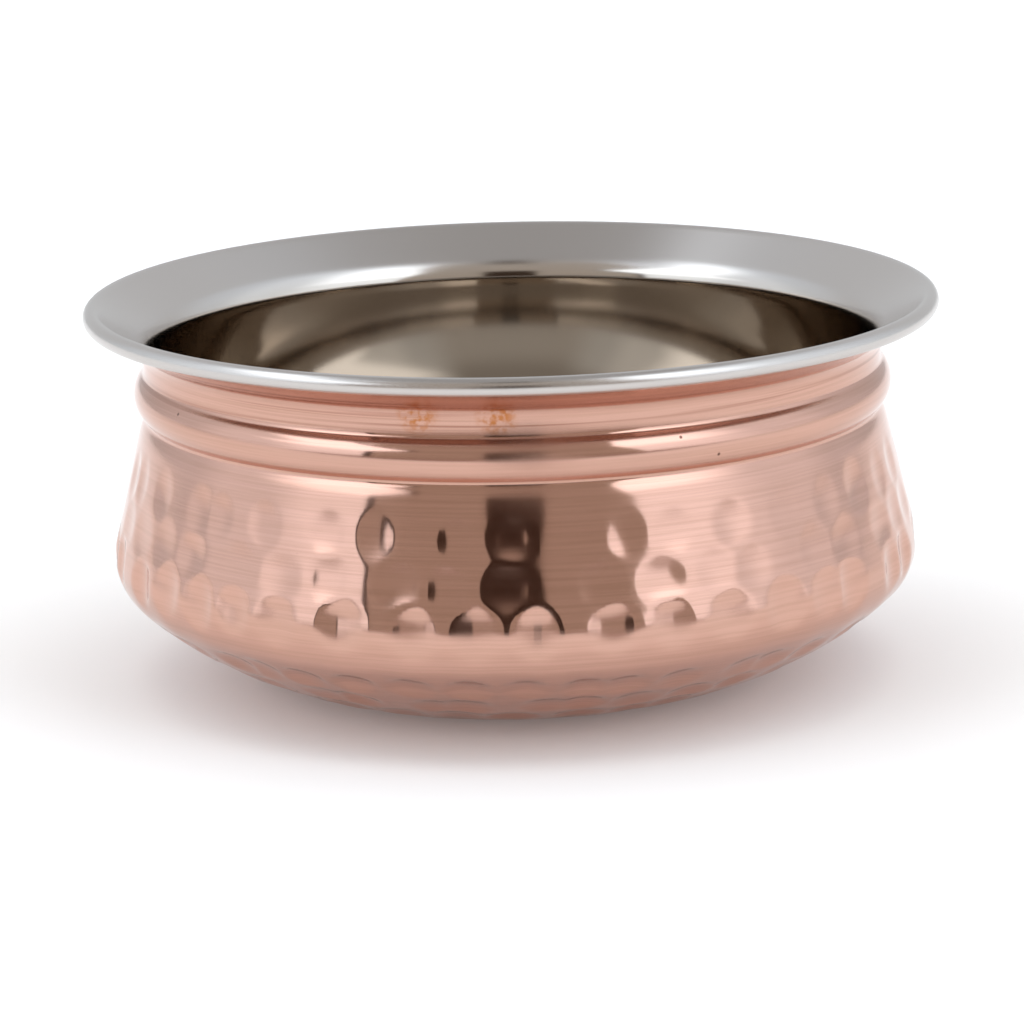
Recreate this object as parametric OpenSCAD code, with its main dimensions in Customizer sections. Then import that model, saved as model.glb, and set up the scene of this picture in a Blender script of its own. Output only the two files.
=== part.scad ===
// Double-walled serving bowl (handi): a stainless-steel bowl hangs inside a hammered
// copper shell, and the steel rim is rolled over the copper lip to hold the two together.
// The bowl stands on the flat underside, centred on the Z axis, with the table at Z = 0.

/* [Overall] */
// Inside diameter of the mouth at its narrowest, just under the flared rim
mouth_d = 127.3; // [100:0.1:160]
// Height from the table to the top of the rolled rim
bowl_h = 67.4; // [56:0.1:90]
// How far the widest part of the belly stands out beyond the mouth
belly_out = 7.4; // [5:0.1:12]
// Height of the widest part of the belly
belly_z = 22.9; // [18:0.1:28]
// Diameter of the flat underside
base_d = 72; // [56:1:88]

/* [Sheet metal] */
// Thickness of the stainless-steel sheet
steel_t = 0.6; // [0.4:0.05:0.8]
// Thickness of the copper sheet
copper_t = 0.6; // [0.4:0.05:0.7]
// Clearance between the two sheets where one lies on the other
sheet_gap = 0.05; // [0.02:0.01:0.1]

/* [Rim] */
// How far the rolled rim stands out beyond the mouth
rim_out = 11.35; // [8:0.05:16]
// Radius of the rolled edge
curl_r = 1.56; // [1.4:0.02:2.4]
// Height from the narrowest part of the mouth to the top of the rim
flare_h = 9.3; // [8:0.1:12]
// Bend radius where the flare leaves the mouth, on its inner face
flare_r = 5; // [3:0.1:6]

/* [Copper shell] */
// Radius of the round bead pressed into the neck
bead_r = 4.9; // [3.5:0.1:5.2]
// How far the bead stands out beyond the neck
bead_out = 1.72; // [1:0.02:2.4]
// Height from the middle of the bead to the top of the rim
bead_drop = 15.55; // [14:0.05:18]
// Radius of the hollow where the neck runs into the top of the bead
hollow_r = 1.2; // [0.6:0.1:2]
// Radius of the crease where the bead meets the wall
crease_r = 0.7; // [0.4:0.1:1.2]
// Radius of the soft shoulder at the top of the wall
shoulder_r = 14; // [8:0.5:16]
// How much the shoulder turns, in degrees
shoulder_turn = 12; // [6:1:20]
// Radius of the belly, where the wall turns under
belly_r = 9.45; // [8:0.05:12]
// Radius of the dished bottom
dish_r = 64; // [58:0.5:90]

/* [Steel bowl] */
// Air gap between the copper base and the steel floor
floor_gap = 3.8; // [3:0.1:8]
// Radius between the steel wall and its floor, on the inside
floor_r = 26; // [22:0.5:32]

/* [Hidden] */

// how far a straight step along a curve may stray from it
sag = 0.015;

// neck: the copper lies outside the steel
mouth_r = mouth_d / 2;
copper_in = steel_t + sheet_gap;
copper_out = copper_in + copper_t;
neck_r = mouth_r + copper_out;

// the flare bends about flare_c and runs straight to the rolled edge about curl_c;
// rim_a is the direction its upper face looks in
flare_c = [mouth_r + flare_r, bowl_h - flare_h];
curl_c = [mouth_r + rim_out - curl_r, bowl_h - curl_r];
flare_span = curl_c - flare_c;
rim_a = 180 + atan2(flare_span[1], flare_span[0]) - acos((curl_r - flare_r) / norm(flare_span));

// the copper lip ends inside the rolled edge, which closes on it from below
curl_in = curl_r - steel_t;
curl_end = curl_r - copper_out - sheet_gap;

// bead, with a hollow above it and a crease below it that both touch the line of the neck
bead_c = [neck_r + bead_out - bead_r, bowl_h - bead_drop];
hollow_c = [neck_r + hollow_r, bead_c[1] + beside_bead(hollow_r)];
crease_c = [neck_r + crease_r, bead_c[1] - beside_bead(crease_r)];
hollow_a = atan2(hollow_c[1] - bead_c[1], hollow_c[0] - bead_c[0]);
crease_a = atan2(crease_c[1] - bead_c[1], crease_c[0] - bead_c[0]);

// wall: a cone that runs off the shoulder and onto the belly; wall_a is the way it looks
belly_c = [mouth_r + belly_out - belly_r, belly_z];
wall_run = crease_c - belly_c;
wall_off = belly_r - shoulder_r + (crease_r + shoulder_r) * cos(shoulder_turn);
wall_a = atan2(wall_run[1], wall_run[0]) - acos(wall_off / norm(wall_run));
shoulder_a = wall_a + shoulder_turn;
shoulder_c = crease_c - (crease_r + shoulder_r) * dir(shoulder_a);

// dished bottom: it starts at the edge of the flat base and runs onto the belly
base_edge = [base_d / 2, 0];
base_run = belly_c - base_edge;
base_l = norm(base_run);
under_r = dish_r - belly_r;
dish_along = (dish_r * dish_r - under_r * under_r + base_l * base_l) / (2 * base_l);
dish_across = sqrt(dish_r * dish_r - dish_along * dish_along);
dish_side = [-base_run[1], base_run[0]] / base_l;
dish_c = base_edge + dish_along * base_run / base_l + dish_across * dish_side;
belly_end = atan2(belly_c[1] - dish_c[1], belly_c[0] - dish_c[0]);

// steel floor, measured on the inside of the bowl
floor_z = copper_t + floor_gap + steel_t;
floor_c = [mouth_r - floor_r, floor_z + floor_r];

// direction at an angle
function dir(a) = [cos(a), sin(a)];

// points on an arc about c from angle a0 to angle a1
function arc(c, r, a0, a1) =
    let (n = ceil(abs(a1 - a0) / (2 * acos(1 - sag / r))))
    [for (i = [0:n]) c + r * dir(a0 + (a1 - a0) * i / n)];

// height from the middle of the bead to the centre of a hollow of radius r beside it
function beside_bead(r) = sqrt((bead_r + r) * (bead_r + r) - (neck_r + r - bead_c[0]) * (neck_r + r - bead_c[0]));

// angle at which the dish, drawn in by t, reaches the height t
function base_a(t) = asin((t - dish_c[1]) / (dish_r - t));

// one face of the steel sheet, from the middle of the floor up to the rolled edge
function steel_face(t) = concat(
    [[0, floor_z - t]],
    arc(floor_c, floor_r + t, -90, 0),
    arc(flare_c, flare_r - t, 180, rim_a)
);

// the rolled edge turns nearly full circle, out over the rim and back under the copper lip
function curl_face(r) = arc(curl_c, r, rim_a, rim_a + acos(curl_end / r) - 360);

// one face of the copper sheet, from the lip down to the middle of the base;
// t is how far it lies inside the outer face
function copper_face(t) = concat(
    [curl_c + (curl_r - copper_out + t) * dir(rim_a)],
    arc(flare_c, flare_r - copper_out + t, rim_a, 180),
    arc(hollow_c, hollow_r + t, 180, 180 + hollow_a),
    arc(bead_c, bead_r - t, hollow_a, crease_a),
    arc(crease_c, crease_r + t, 180 + crease_a, 180 + shoulder_a),
    arc(shoulder_c, shoulder_r - t, shoulder_a, wall_a),
    arc(belly_c, belly_r - t, wall_a, belly_end),
    arc(dish_c, dish_r - t, belly_end, base_a(t)),
    [[0, t]]
);

function reversed(list) = [for (i = [len(list) - 1:-1:0]) list[i]];

// spun stainless bowl with straight wall, flared mouth and hollow rolled edge
module steel_bowl() {
    inside = concat(steel_face(0), curl_face(curl_r));
    outside = concat(steel_face(steel_t), curl_face(curl_in));
    color([0.72, 0.72, 0.73])
        rotate_extrude($fn = 180)
            polygon(concat(inside, reversed(outside)));
}

// spun copper shell with beaded neck, sloping wall, rounded belly and dished bottom
module copper_shell() {
    color([0.80, 0.55, 0.46])
        rotate_extrude($fn = 180)
            polygon(concat(copper_face(0), reversed(copper_face(copper_t))));
}

steel_bowl();
copper_shell();
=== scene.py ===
import bpy
import math
import numpy as np
from mathutils import Matrix, Vector


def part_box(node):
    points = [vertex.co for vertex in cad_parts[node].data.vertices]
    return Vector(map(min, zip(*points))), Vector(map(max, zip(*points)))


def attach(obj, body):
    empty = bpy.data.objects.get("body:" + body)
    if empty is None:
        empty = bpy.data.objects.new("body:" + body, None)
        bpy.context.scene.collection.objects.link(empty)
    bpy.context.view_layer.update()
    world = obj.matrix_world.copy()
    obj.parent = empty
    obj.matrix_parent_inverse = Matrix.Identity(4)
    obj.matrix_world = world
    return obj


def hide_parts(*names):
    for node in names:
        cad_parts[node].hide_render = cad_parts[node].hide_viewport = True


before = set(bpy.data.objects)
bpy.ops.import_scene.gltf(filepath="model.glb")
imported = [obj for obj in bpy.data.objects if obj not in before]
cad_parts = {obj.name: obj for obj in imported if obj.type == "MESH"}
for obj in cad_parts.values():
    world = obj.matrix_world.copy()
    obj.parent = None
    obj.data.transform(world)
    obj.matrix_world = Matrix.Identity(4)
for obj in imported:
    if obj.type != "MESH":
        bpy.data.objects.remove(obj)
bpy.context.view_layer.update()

# ---------------------------------------------------------------- camera
# A long lens looks slightly down at the bowl from the front, with the horizon a little off level.
# The aim is on the bowl's axis, a little below half its height.
rim_r, _, rim_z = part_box("steel_bowl")[1]
lens = bpy.data.cameras.new("camera")
lens.sensor_width = 36
lens.lens = 163.3
lens.shift_x = -0.0031
lens.shift_y = -0.0064
camera = bpy.data.objects.new("camera", lens)
bpy.context.collection.objects.link(camera)
elevation = math.radians(13.26)
roll = math.radians(-1.3)
away = Vector((0, -math.cos(elevation), math.sin(elevation)))
aim_z = 0.43 * rim_z
distance = 11 * rim_r
seat = Matrix.Translation(Vector((0, 0, aim_z)) + distance * away)
facing = away.to_track_quat("Z", "Y").to_matrix().to_4x4()
camera.matrix_world = seat @ facing @ Matrix.Rotation(roll, 4, "Z")
bpy.context.scene.camera = camera

# ---------------------------------------------------------------- steel bowl
# The inner bowl is spun from thin stainless sheet: straight wall, flared mouth and a hollow edge
# rolled down over the copper lip. The flare is left satin and the inside is polished to a mirror.
mm = 0.001
steel_t = 0.6 * mm
copper_t = 0.6 * mm
sheet_gap = 0.05 * mm
curl_r = 1.56 * mm
mouth_r = rim_r - 11.35 * mm
flare_r = 5 * mm
flare_c = np.array([mouth_r + flare_r, rim_z - 9.3 * mm])
curl_c = np.array([rim_r - curl_r, rim_z - curl_r])
floor_r = 26 * mm
floor_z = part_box("steel_bowl")[0][2] + steel_t
floor_c = np.array([mouth_r - floor_r, floor_z + floor_r])
flare_span = curl_c - flare_c
rim_a = math.pi + math.atan2(flare_span[1], flare_span[0]) - math.acos(
    (curl_r - flare_r) / math.hypot(*flare_span))
curl_end = curl_r - steel_t - 2 * sheet_gap - copper_t


def arc(centre, radius, start, end, step):
    """Points on an arc, from one angle to another, about one step apart."""
    count = max(2, math.ceil(abs(end - start) * radius / step))
    turn = np.linspace(start, end, count + 1)
    return centre + radius * np.stack([np.cos(turn), np.sin(turn)], axis=1)


def joined(pieces):
    """One outline through pieces of points. A number between two pieces is the step of the
    straight run that joins them."""
    outline = np.atleast_2d(pieces[0])
    for step, piece in zip(pieces[1::2], pieces[2::2]):
        piece = np.atleast_2d(piece)
        span = math.hypot(*(piece[0] - outline[-1]))
        if span < 1e-7:
            piece = piece[1:]
        share = np.linspace(0, 1, max(1, math.ceil(span / step)) + 1)[1:-1, None]
        run = outline[-1] + (piece[0] - outline[-1]) * share
        outline = np.concatenate([outline, run, piece])
    return outline


def revolved(name, outline, columns, push=None):
    """A mesh turned about Z from an outline in metres that starts and ends on the axis. Each
    point keeps its distance along the outline. push moves the points inside the outline."""
    along = np.concatenate([[0], np.cumsum(np.hypot(*np.diff(outline, axis=0).T))])
    around = np.arange(columns) / columns * 2 * math.pi
    r = np.repeat(outline[1:-1, :1], columns, axis=1)
    z = np.repeat(outline[1:-1, 1:], columns, axis=1)
    if push:
        inward, depth = push(outline[1:-1], around)
        r = r + inward[:, :1] * depth
        z = z + inward[:, 1:] * depth
    ring = np.stack([r * np.sin(around), -r * np.cos(around), z], axis=2).reshape(-1, 3)
    points = np.concatenate([[[0, 0, outline[0, 1]]], ring, [[0, 0, outline[-1, 1]]]])
    here = 1 + np.arange(columns)
    after = 1 + (np.arange(columns) + 1) % columns
    end = len(points) - 1 - columns - 1
    faces = [(0, b, a) for a, b in zip(here, after)]
    for low in range(0, end, columns):
        high = low + columns
        faces += np.stack([here + low, after + low, after + high, here + high], axis=1).tolist()
    faces += [(a + end, b + end, len(points) - 1) for a, b in zip(here, after)]
    mesh = bpy.data.meshes.new(name)
    mesh.from_pydata(points.tolist(), [], [tuple(map(int, face)) for face in faces])
    mesh.shade_smooth()
    spread = np.concatenate([along[:1], np.repeat(along[1:-1], columns), along[-1:]])
    distances = mesh.attributes.new("along", "FLOAT", "POINT")
    distances.data.foreach_set("value", spread.astype(np.float32))
    piece = bpy.data.objects.new(name, mesh)
    bpy.context.collection.objects.link(piece)
    return piece


inside = joined([
    np.array([0, floor_z]), 4 * mm,
    arc(floor_c, floor_r, -math.pi / 2, 0, 1.2 * mm), 1.5 * mm,
    arc(flare_c, flare_r, math.pi, rim_a, 0.5 * mm), 0.8 * mm,
    arc(curl_c, curl_r, rim_a, rim_a + math.acos(curl_end / curl_r) - 2 * math.pi, 0.35 * mm),
])
inner_r = curl_r - steel_t
outside = joined([
    np.array([0, floor_z - steel_t]), 8 * mm,
    arc(floor_c, floor_r + steel_t, -math.pi / 2, 0, 2 * mm), 4 * mm,
    arc(flare_c, flare_r - steel_t, math.pi, rim_a, 0.7 * mm), 2 * mm,
    arc(curl_c, inner_r, rim_a, rim_a + math.acos(curl_end / inner_r) - 2 * math.pi, 0.35 * mm),
])
steel_columns = 400
steel_bowl = revolved("spun_steel_bowl", np.concatenate([inside, outside[::-1]]), steel_columns)


def linear(code):
    """A hex sRGB colour as linear red, green, blue, alpha."""
    parts = [int(code[i:i + 2], 16) / 255 for i in (1, 3, 5)]
    return [c / 12.92 if c <= 0.04045 else ((c + 0.055) / 1.055) ** 2.4 for c in parts] + [1]


def add(tree, kind, inputs, **settings):
    """Adds a node: settings go on the node, inputs are values or other nodes' outputs."""
    node = tree.nodes.new(kind)
    for name, value in settings.items():
        setattr(node, name, value)
    for socket, value in inputs.items():
        if isinstance(value, bpy.types.NodeSocket):
            tree.links.new(value, node.inputs[socket])
        else:
            node.inputs[socket].default_value = value
    return node


def material(name):
    """An empty node material and its tree."""
    new = bpy.data.materials.new(name)
    new.use_nodes = True
    new.node_tree.nodes.clear()
    return new, new.node_tree


# Stainless steel, satin flare and mirror inside: a cool grey metal. The lathe's fine lines run
# round the bowl, so that reflections smear up and down on the flare.
steel, tree = material("stainless steel, satin flare and mirror inside")
place = add(tree, "ShaderNodeTexCoord", {}).outputs["Object"]
part = add(tree, "ShaderNodeSeparateXYZ", {"Vector": place})
along = add(tree, "ShaderNodeAttribute", {}, attribute_name="along").outputs["Fac"]
flare = add(tree, "ShaderNodeMapRange", {"Value": part.outputs["Z"], "From Min": rim_z - 9.5 * mm,
                                         "From Max": rim_z - 6.0 * mm}).outputs["Result"]
rings = add(tree, "ShaderNodeCombineXYZ", {
    "X": part.outputs["X"], "Y": part.outputs["Y"], "Z": along})
rings = add(tree, "ShaderNodeVectorMath", {0: rings.outputs["Vector"], 1: (30, 30, 4000)},
            operation="MULTIPLY")
brush = add(tree, "ShaderNodeTexNoise", {
    "Vector": rings.outputs["Vector"], "Scale": 1.0, "Detail": 3.0, "Roughness": 0.6}).outputs["Fac"]
rough = add(tree, "ShaderNodeMapRange", {
    "Value": flare, "To Min": 0.06, "To Max": 0.27}).outputs["Result"]
brush = add(tree, "ShaderNodeMath", {0: brush, 1: flare}, operation="MULTIPLY").outputs[0]
bump = add(tree, "ShaderNodeBump", {
    "Height": brush, "Distance": 0.004 * mm, "Strength": 0.3}).outputs["Normal"]
tangent = add(tree, "ShaderNodeTangent", {}, direction_type="RADIAL", axis="Z").outputs["Tangent"]
tone = add(tree, "ShaderNodeMix", {0: flare, 6: linear("#C5BBB0"), 7: linear("#CBC5C1")},
           data_type="RGBA").outputs[2]
shader = add(tree, "ShaderNodeBsdfPrincipled", {
    "Base Color": tone, "Metallic": 1.0, "Roughness": rough, "Anisotropic": 0.5,
    "Anisotropic Rotation": 0.25, "Tangent": tangent, "Normal": bump})
add(tree, "ShaderNodeOutputMaterial", {"Surface": shader.outputs["BSDF"]})
steel_bowl.data.materials.append(steel)
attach(steel_bowl, "root")
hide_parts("steel_bowl")

# ---------------------------------------------------------------- copper shell
# The outer shell is spun from copper sheet, with a round bead pressed into the neck. Its wall and
# the underside of its belly are then hammered by hand with a round-faced punch, row by row.
copper_out = steel_t + sheet_gap + copper_t
neck_r = mouth_r + copper_out
bead_r = 4.9 * mm
bead_c = np.array([neck_r + 1.72 * mm - bead_r, rim_z - 15.55 * mm])
hollow_r = 1.2 * mm
crease_r = 0.7 * mm
shoulder_r = 14 * mm
shoulder_turn = math.radians(12)
belly_r = 9.45 * mm
belly_c = np.array([mouth_r + 7.4 * mm - belly_r, 22.9 * mm])
dish_r = 64 * mm
base_edge = np.array([36 * mm, 0])


def beside_bead(r):
    """How far above or below the bead's centre a fillet of radius r sits, on the neck line."""
    return math.sqrt((bead_r + r) ** 2 - (neck_r + r - bead_c[0]) ** 2)


def toward(a):
    return np.array([math.cos(a), math.sin(a)])


hollow_c = np.array([neck_r + hollow_r, bead_c[1] + beside_bead(hollow_r)])
crease_c = np.array([neck_r + crease_r, bead_c[1] - beside_bead(crease_r)])
hollow_a = math.atan2(*(hollow_c - bead_c)[::-1])
crease_a = math.atan2(*(crease_c - bead_c)[::-1])
wall_run = crease_c - belly_c
wall_off = belly_r - shoulder_r + (crease_r + shoulder_r) * math.cos(shoulder_turn)
wall_a = math.atan2(wall_run[1], wall_run[0]) - math.acos(wall_off / math.hypot(*wall_run))
shoulder_a = wall_a + shoulder_turn
shoulder_c = crease_c - (crease_r + shoulder_r) * toward(shoulder_a)
base_run = belly_c - base_edge
base_l = math.hypot(*base_run)
dish_along = (dish_r ** 2 - (dish_r - belly_r) ** 2 + base_l ** 2) / (2 * base_l)
dish_across = math.sqrt(dish_r ** 2 - dish_along ** 2)
base_side = np.array([-base_run[1], base_run[0]])
dish_c = base_edge + (dish_along * base_run + dish_across * base_side) / base_l
belly_end = math.atan2(belly_c[1] - dish_c[1], belly_c[0] - dish_c[0])


def copper_face(t, fine, wall):
    """The shell's outline, t inside its outer face. The hammered part takes steps of wall."""
    base_a = math.asin((t - dish_c[1]) / (dish_r - t))
    return joined([
        curl_c + (curl_r - copper_out + t) * toward(rim_a), 2 * fine,
        arc(flare_c, flare_r - copper_out + t, rim_a, math.pi, fine), 2 * fine,
        arc(hollow_c, hollow_r + t, math.pi, math.pi + hollow_a, 0.6 * fine), fine,
        arc(bead_c, bead_r - t, hollow_a, crease_a, fine), fine,
        arc(crease_c, crease_r + t, math.pi + crease_a, math.pi + shoulder_a, 0.6 * fine), fine,
        arc(shoulder_c, shoulder_r - t, shoulder_a, wall_a, wall), wall,
        arc(belly_c, belly_r - t, wall_a, belly_end, wall), wall,
        arc(dish_c, dish_r - t, belly_end, base_a, 1.3 * wall), 12 * mm,
        np.array([0, t]),
    ])


# The inner face is hidden, so its steps are coarse and the whole mesh stays a moderate size.
outer = copper_face(0, 0.55 * mm, 0.58 * mm)
inner = copper_face(copper_t, 2.6 * mm, 3.2 * mm)
outer_along = np.concatenate([[0], np.cumsum(np.hypot(*np.diff(outer, axis=0).T))])
outer_run = np.gradient(outer, outer_along, axis=0)
outer_in = np.stack([outer_run[:, 1], -outer_run[:, 0]], axis=1)
outer_in /= np.linalg.norm(outer_in, axis=1, keepdims=True)


def row(count, seed, wander=0.5):
    """Angles of the marks in one row, roughly evenly spaced, from the front towards +X."""
    draw = np.random.default_rng(seed)
    slots = np.arange(count) + draw.random() + wander * (draw.random(count) - 0.5)
    return slots * 2 * math.pi / count


# The wall rows' seeds aren't arbitrary: each was searched for among many, so that the marks in
# front fall close to the real bowl's. Those of the underside are arbitrary.
hammer_rows = [
    # height in mm, angles, half height, half width, depth, edge (1.3 crisp, 2 soft)
    (39.0, row(41, 46770), 4.9, 3.9, 0.33, 1.5),
    (31.4, row(41, 25598), 4.9, 4.7, 0.37, 1.5),
    (24.1, row(41, 33476), 5.0, 4.5, 0.85, 1.3),
]
under_rows = [
    # radius in mm, then the same
    (64.3, row(43, 11), 3.9, 4.8, 0.75, 1.2),
    (57.6, row(38, 12), 3.9, 4.8, 0.75, 1.2),
    (50.5, row(33, 13), 3.9, 4.8, 0.70, 1.2),
    (43.5, row(28, 14), 3.9, 4.8, 0.45, 1.3),
]


def hammered(points, around):
    """The way in and the depth at each point: marks, and the slow waves left between them."""
    near = np.argmin(np.hypot(*(points[:, None] - outer[None]).transpose(2, 0, 1)), axis=1)
    down = outer_along[near]
    depth = np.zeros((len(points), len(around)))
    belly = np.argmax(outer[:, 0] * (outer[:, 1] < 30 * mm))
    draw = np.random.default_rng(5)
    wall_z, wall_place = -outer[:belly, 1], outer_along[:belly]
    dish_x, dish_place = -outer[belly:, 0], outer_along[belly:]
    wall_rows = [(np.interp(-z * mm, wall_z, wall_place), *rest) for z, *rest in hammer_rows]
    dish_rows = [(np.interp(-r * mm, dish_x, dish_place), *rest) for r, *rest in under_rows]
    for middle, angles, high, wide, deep, edge in wall_rows + dish_rows:
        radius = np.interp(middle, outer_along, outer[:, 0])
        for angle in angles:
            size = 1 + 0.16 * (draw.random(2) - 0.5)
            up = (down - middle - 0.9 * mm * (draw.random() - 0.5)) / (high * mm * size[0])
            turn = (around - angle + math.pi) % (2 * math.pi) - math.pi
            across = turn * radius / (wide * mm * size[1])
            inside = np.clip(1 - up[:, None] ** 2 - across[None] ** 2, 0, 1)
            blow = deep * mm * (0.75 + 0.5 * draw.random())
            depth = np.maximum(depth, blow * inside ** edge)
    crease = outer_along[np.argmin(np.hypot(*(outer - crease_c).T))]
    below_crease = np.clip((down - crease - 5 * mm) / (8 * mm), 0, 1)
    outside_base = np.clip((outer_along[-1] - 40 * mm - down) / (8 * mm), 0, 1)
    fade = below_crease * outside_base
    for _ in range(14):
        turns = draw.integers(4, 42)
        rise = draw.uniform(-1, 1) / (7 * mm)
        start = draw.uniform(0, 6.28)
        wave = np.cos(turns * around[None] + rise * down[:, None] + start)
        depth += 0.018 * mm * fade[:, None] * wave
    return outer_in[near], depth


copper_columns = 536
copper_shell = revolved("hammered_copper_shell", np.concatenate([inner[::-1], outer]),
                        copper_columns, hammered)

# Polished copper, spun and then hammered: a warm pink metal, near-mirror, with fine lathe lines
# round it. A few lines hold polish residue, and there are small pits and two tarnished spots.
# A patch on the front of the bead is rubbed dull.
copper, tree = material("polished copper, spun and hammered")
place = add(tree, "ShaderNodeTexCoord", {}).outputs["Object"]
part = add(tree, "ShaderNodeSeparateXYZ", {"Vector": place})
along = add(tree, "ShaderNodeAttribute", {}, attribute_name="along").outputs["Fac"]
rings = add(tree, "ShaderNodeCombineXYZ", {
    "X": part.outputs["X"], "Y": part.outputs["Y"], "Z": along})


def lines(stretch, scale, detail):
    """Noise drawn out round the bowl: stretch and scale are the waves per metre round and along."""
    drawn = add(tree, "ShaderNodeVectorMath", {
        0: rings.outputs["Vector"], 1: (stretch, stretch, scale)},
        operation="MULTIPLY").outputs["Vector"]
    return add(tree, "ShaderNodeTexNoise", {"Vector": drawn, "Scale": 1.0, "Detail": detail,
                                            "Roughness": 0.65}).outputs["Fac"]


def stepped(value, low, high, start, end):
    """Maps a value from low-high to start-end, held at both ends."""
    return add(tree, "ShaderNodeMapRange", {"Value": value, "From Min": low, "From Max": high,
                                            "To Min": start, "To Max": end}).outputs["Result"]


def maths(kind, a, b):
    return add(tree, "ShaderNodeMath", {0: a, 1: b}, operation=kind).outputs[0]


def tinted(under, over, amount):
    return add(tree, "ShaderNodeMix", {0: amount, 6: under, 7: over}, data_type="RGBA").outputs[2]


turning = lines(25, 1 / (0.5 * mm), 4.0)
bump = add(tree, "ShaderNodeBump", {
    "Height": turning, "Distance": 0.006 * mm, "Strength": 0.6}).outputs["Normal"]
colour = tinted(linear("#CFA392"), linear("#C79C8A"), stepped(turning, 0.42, 0.62, 0.0, 1.0))
above_bead = stepped(part.outputs["Z"], bead_c[1] + 1 * mm, bead_c[1] + 6 * mm, 0.0, 1.0)
below_rim = stepped(part.outputs["Z"], rim_z - 2 * mm, rim_z - 3 * mm, 0.0, 1.0)
neck = maths("MULTIPLY", above_bead, below_rim)
residue = maths("MULTIPLY", stepped(lines(7, 1 / (1.1 * mm), 2.0), 0.57, 0.66, 0.0, 0.6),
                stepped(neck, 0, 1, 0.08, 1))
colour = tinted(colour, linear("#8E5A45"), residue)
for seat in ((-0.0155, -0.0632, 0.0595), (-0.0026, -0.0651, 0.0593)):
    apart = add(tree, "ShaderNodeVectorMath", {0: place, 1: seat},
                operation="DISTANCE").outputs["Value"]
    mottle = add(tree, "ShaderNodeTexNoise", {
        "Vector": place, "Scale": 900.0, "Detail": 3.0}).outputs["Fac"]
    spot = maths("MULTIPLY", stepped(apart, 1.6 * mm, 4.0 * mm, 1.0, 0.0),
                 stepped(mottle, 0.42, 0.6, 0.1, 0.9))
    colour = tinted(colour, linear("#B5713F"), spot)
cells = add(tree, "ShaderNodeTexVoronoi", {"Vector": place, "Scale": 1 / (7 * mm)})
lot = add(tree, "ShaderNodeSeparateColor", {"Color": cells.outputs["Color"]}).outputs[0]
pit = maths("MULTIPLY", stepped(cells.outputs["Distance"], 0.03, 0.05, 1.0, 0.0),
            stepped(lot, 0.6, 0.61, 0, 0.8))
colour = tinted(colour, linear("#4A2C22"), pit)
bead_front = (3 * mm, -bead_c[0] - bead_r, bead_c[1])
apart = add(tree, "ShaderNodeVectorMath", {0: place, 1: bead_front},
            operation="DISTANCE").outputs["Value"]
rubbed = stepped(apart, 1 * mm, 11 * mm, 0.27, 0.12)
tangent = add(tree, "ShaderNodeTangent", {}, direction_type="RADIAL", axis="Z").outputs["Tangent"]
shader = add(tree, "ShaderNodeBsdfPrincipled", {
    "Base Color": colour, "Metallic": 1.0, "Roughness": rubbed, "Anisotropic": 0.9,
    "Anisotropic Rotation": 0.25, "Tangent": tangent, "Normal": bump})
add(tree, "ShaderNodeOutputMaterial", {"Surface": shader.outputs["BSDF"]})
copper_shell.data.materials.append(copper)
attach(copper_shell, "root")
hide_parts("copper_shell")

# ---------------------------------------------------------------- floor
# The table is a large sheet of white matt acrylic, lit a little from below.
floor_mesh = bpy.data.meshes.new("floor")
floor_mesh.from_pydata([(-6, -6, 0), (6, -6, 0), (6, 6, 0), (-6, 6, 0)], [], [(0, 1, 2, 3)])
floor = bpy.data.objects.new("floor", floor_mesh)
bpy.context.collection.objects.link(floor)
acrylic, tree = material("white matt acrylic")
shader = add(tree, "ShaderNodeBsdfPrincipled", {
    "Base Color": linear("#F4F4F4"), "Roughness": 0.9, "Specular IOR Level": 0.0,
    "Emission Color": (1, 1, 1, 1), "Emission Strength": 0.1})
add(tree, "ShaderNodeOutputMaterial", {"Surface": shader.outputs["BSDF"]})
floor_mesh.materials.append(acrylic)

# Two dark sheets lie on the table in front of the bowl, a grey one and a black one under the camera.
# They are painted shade on the table: only the metal's reflections see them, so that the table stays
# plain to the eye.
flag_near = -0.45
flag_far = -6
for name, near, far, height, tone in (
        # name, half width near the bowl, half width far off, height in mm, colour
        ("grey_flag", 1.2, 6.0, 0.2, "#A08C82"),
        ("black_flag", 0.05, 0.95, 0.4, "#3A2820")):
    flag_mesh = bpy.data.meshes.new(name)
    flag_mesh.from_pydata([
        (-near, flag_near, height * mm), (-far, flag_far, height * mm),
        (far, flag_far, height * mm), (near, flag_near, height * mm)], [], [(0, 1, 2, 3)])
    flag = bpy.data.objects.new(name, flag_mesh)
    bpy.context.collection.objects.link(flag)
    # A matt sheet of painted shade with no sheen: the same flat tone from every side.
    shade_sheet, tree = material("matt painted shade sheet, " + name.split("_")[0])
    shader = add(tree, "ShaderNodeBsdfPrincipled", {"Base Color": linear(tone), "Roughness": 1.0,
                                                    "Specular IOR Level": 0.0})
    add(tree, "ShaderNodeOutputMaterial", {"Surface": shader.outputs["BSDF"]})
    flag_mesh.materials.append(shade_sheet)
    flag.visible_camera = flag.visible_diffuse = flag.visible_shadow = False

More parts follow.
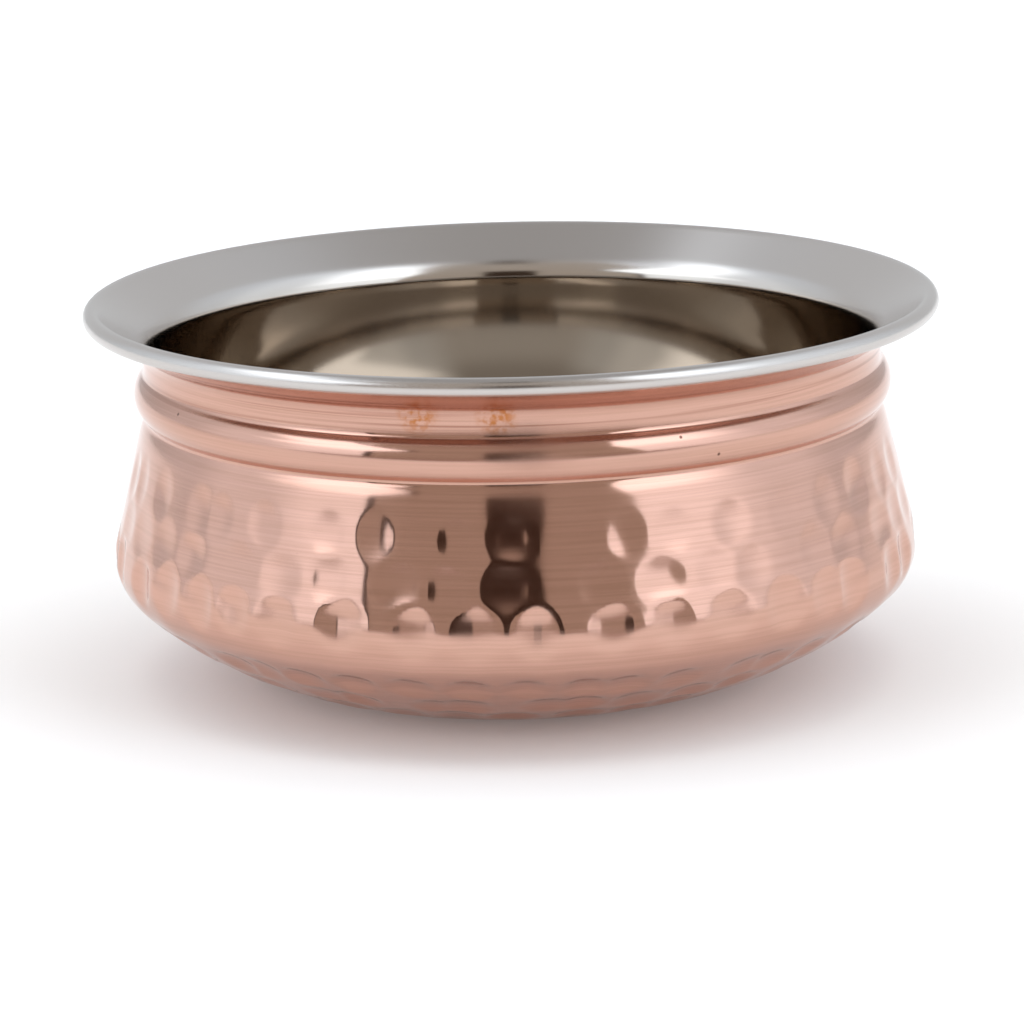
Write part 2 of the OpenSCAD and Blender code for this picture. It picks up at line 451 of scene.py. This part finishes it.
# ---------------------------------------------------------------- light
# A pale studio tent, with a tall softbox on each side of the camera and a gap between them that
# the camera looks through. Azimuth 0 is the camera's side and 90 is +X, and heights are degrees.
world = bpy.data.worlds.new("studio tent")
bpy.context.scene.world = world
world.use_nodes = True
tree = world.node_tree
direction = add(tree, "ShaderNodeTexCoord", {}).outputs["Generated"]
way = add(tree, "ShaderNodeSeparateXYZ", {"Vector": direction})
back = add(tree, "ShaderNodeMath", {0: way.outputs["Y"], 1: -1.0}, operation="MULTIPLY").outputs[0]
azimuth = add(tree, "ShaderNodeMath", {
    0: way.outputs["X"], 1: back}, operation="ARCTAN2").outputs[0]
height = add(tree, "ShaderNodeMath", {0: way.outputs["Z"]}, operation="ARCSINE").outputs[0]


def edge(value, start, end):
    """Rises smoothly from 0 to 1 between two angles in degrees."""
    return add(tree, "ShaderNodeMapRange", {"Value": value, "From Min": math.radians(start),
               "From Max": math.radians(end)}, interpolation_type="SMOOTHSTEP").outputs["Result"]


def panel(under, light, sides, heights, lean=(0, 0)):
    """Lays a panel of light over what is under it. sides and heights are each the outer and
    inner angle of one edge, then the inner and outer angle of the other. A leaning panel's sides
    move out by lean[1] for each degree above or below the height lean[0]."""
    off = add(tree, "ShaderNodeMath", {
        0: height, 1: math.radians(lean[0])}, operation="SUBTRACT").outputs[0]
    off = add(tree, "ShaderNodeMath", {0: off}, operation="ABSOLUTE").outputs[0]
    across = add(tree, "ShaderNodeMath", {
        0: off, 1: lean[1], 2: azimuth}, operation="MULTIPLY_ADD").outputs[0]
    mask = 1.0
    for value, (a, b, c, d) in ((across, sides), (height, heights)):
        rise = edge(value, a, b)
        fall = edge(value, d, c)
        both = add(tree, "ShaderNodeMath", {0: rise, 1: fall}, operation="MULTIPLY").outputs[0]
        mask = add(tree, "ShaderNodeMath", {0: mask, 1: both}, operation="MULTIPLY").outputs[0]
    return add(tree, "ShaderNodeMix", {0: mask, 6: under, 7: light}, data_type="RGBA").outputs[2]


def grey(level, warmth=0.0):
    return (level * (1 + warmth), level, level * (1 - warmth), 1)


# The tent is darkest overhead and brightest at the sides, and dim behind the camera.
sky = panel(grey(0.46, 0.0), grey(0.70, -0.03), (-200, -199, 199, 200), (-90, -89, 40, 65))
sky = panel(sky, grey(0.90, -0.08), (-145, -115, 115, 145), (-90, -89, 50, 70))
sky = panel(sky, grey(1.15, -0.08), (-115, -95, 95, 115), (-90, -89, 50, 70))
sky = panel(sky, grey(0.47, 0.1), (-52, -47, 40, 48), (-90, -89, 55, 75))
# The left softbox leans out above and below. It has a dark border, and its lower half is dimmer.
dark = (0.05, 0.03, 0.02, 1)
sky = panel(sky, dark, (-62, -61, -42.8, -42.5), (-6, 4, 22, 24))
sky = panel(sky, dark, (-62, -61, -29.5, -29), (18, 19, 60, 70), (27, 1.6))
sky = panel(sky, grey(1.5, -0.08), (-80, -62, -45.3, -45), (-6, 4, 22, 24))
sky = panel(sky, grey(2.4, -0.08), (-80, -62, -32.5, -32), (18, 20, 55, 70), (27, 1.6))
# The right softbox stands nearly upright, also dimmer below.
sky = panel(sky, grey(1.6, -0.08), (31, 32, 50, 80), (-6, 4, 55, 70), (31, -0.25))
sky = panel(sky, grey(2.4, -0.08), (31, 32, 50, 80), (18, 24, 55, 70), (31, -0.25))
# The dark gap that the camera looks through, and a dark bar above it.
sky = panel(sky, dark, (-9, -8.3, 8.3, 9), (-90, -89, 22, 26))
sky = panel(sky, dark, (-12, -8, 8, 12), (55, 58, 72, 76))
tree.links.new(sky, tree.nodes["Background"].inputs["Color"])
over = bpy.data.lights.new("overhead diffuser", "AREA")
over.size = 1.5
over.energy = 9.5
over.color = (1.0, 0.97, 0.94)
overhead = bpy.data.objects.new("overhead diffuser", over)
overhead.location = (0, 0, 1.5)
overhead.visible_glossy = False
bpy.context.collection.objects.link(overhead)
bpy.context.scene.cycles.glossy_bounces = 12
bpy.context.scene.view_settings.view_transform = "Standard"
